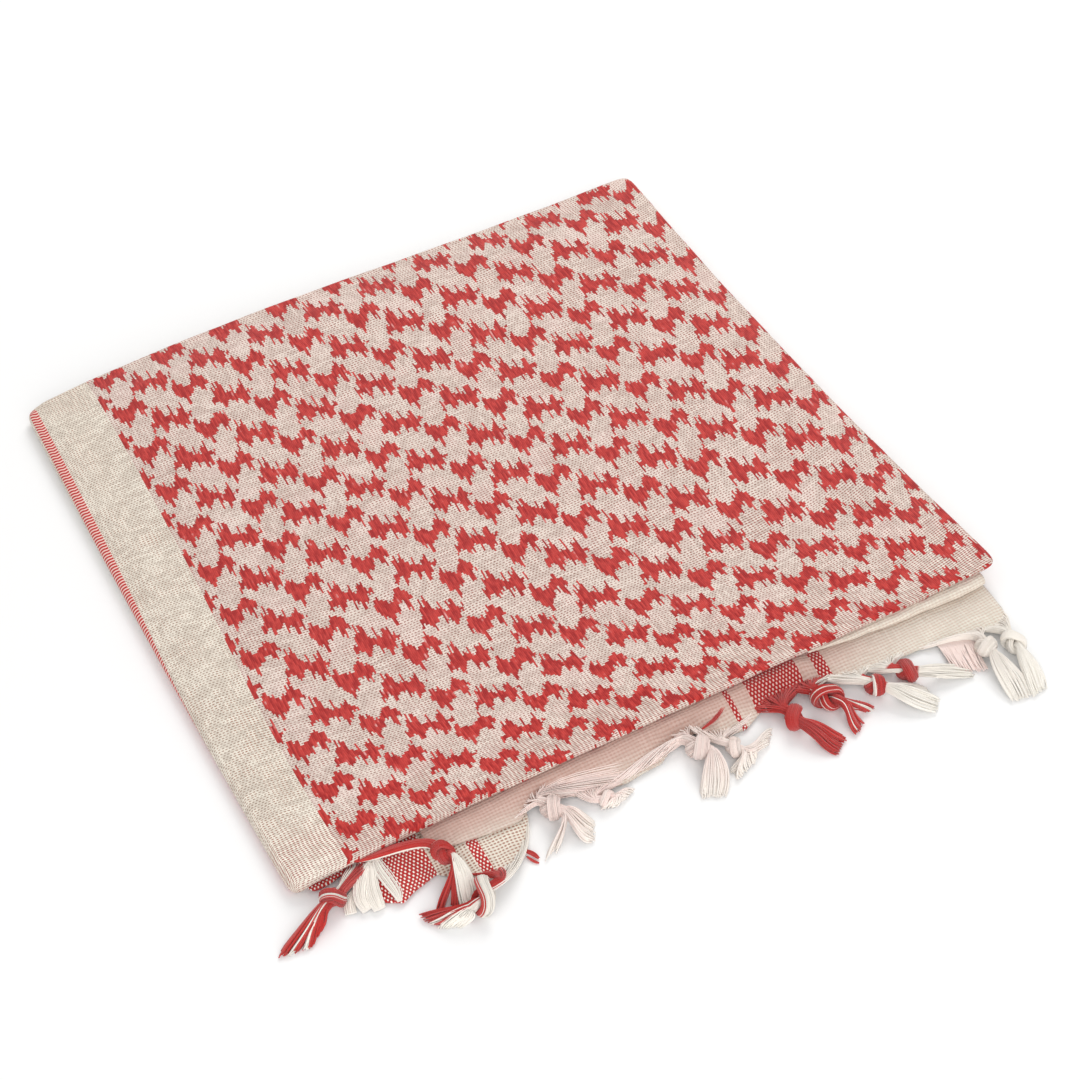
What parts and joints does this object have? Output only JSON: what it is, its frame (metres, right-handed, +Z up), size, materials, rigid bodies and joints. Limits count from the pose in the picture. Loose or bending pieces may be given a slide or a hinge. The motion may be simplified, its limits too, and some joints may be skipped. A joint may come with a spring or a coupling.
{
  "type": "folded keffiyeh headscarf",
  "caption": "Square woven cotton headscarf, folded to a flat square pad, with a red pattern on cream, striped borders and knotted fringe tassels along one edge.",
  "frame": {"origin": "under the middle of the whole footprint, tassels included, on the surface it lies on", "axes": "+X to the right along the fringed front edge, +Y from the fringe to the back fold, +Z up"},
  "size_m": [0.286, 0.3272, 0.0109],
  "materials": {
    "patterned_cotton": "open cotton weave, cream ground with a red woven pattern",
    "plain_cotton": "open plain cotton weave, cream",
    "striped_cotton": "open plain cotton weave, cream with red checked bands",
    "red_yarn": "soft matt cotton yarn, red",
    "white_yarn": "soft matt cotton yarn, white",
    "pink_yarn": "soft matt cotton yarn, white tinged pink"
  },
  "bodies": {
    "root": {"top_panel": "patterned_cotton", "folded_layers": "plain_cotton", "inner_fold": "plain_cotton", "upper_fringed_edge": "striped_cotton", "lower_fringed_edge": "striped_cotton", "corner_layer": "striped_cotton", "yarn_loops": "white_yarn", "loose_fringe": "pink_yarn", "tassel_01": "red_yarn", "tassel_02": "red_yarn", "tassel_03": "red_yarn", "tassel_04": "pink_yarn", "tassel_05": "pink_yarn", "tassel_06": "pink_yarn", "tassel_07": "pink_yarn", "tassel_08": "red_yarn", "tassel_09": "red_yarn", "tassel_10": "white_yarn", "tassel_11": "red_yarn", "tassel_12": "white_yarn", "tassel_13": "white_yarn"}
  },
  "joints": []
}
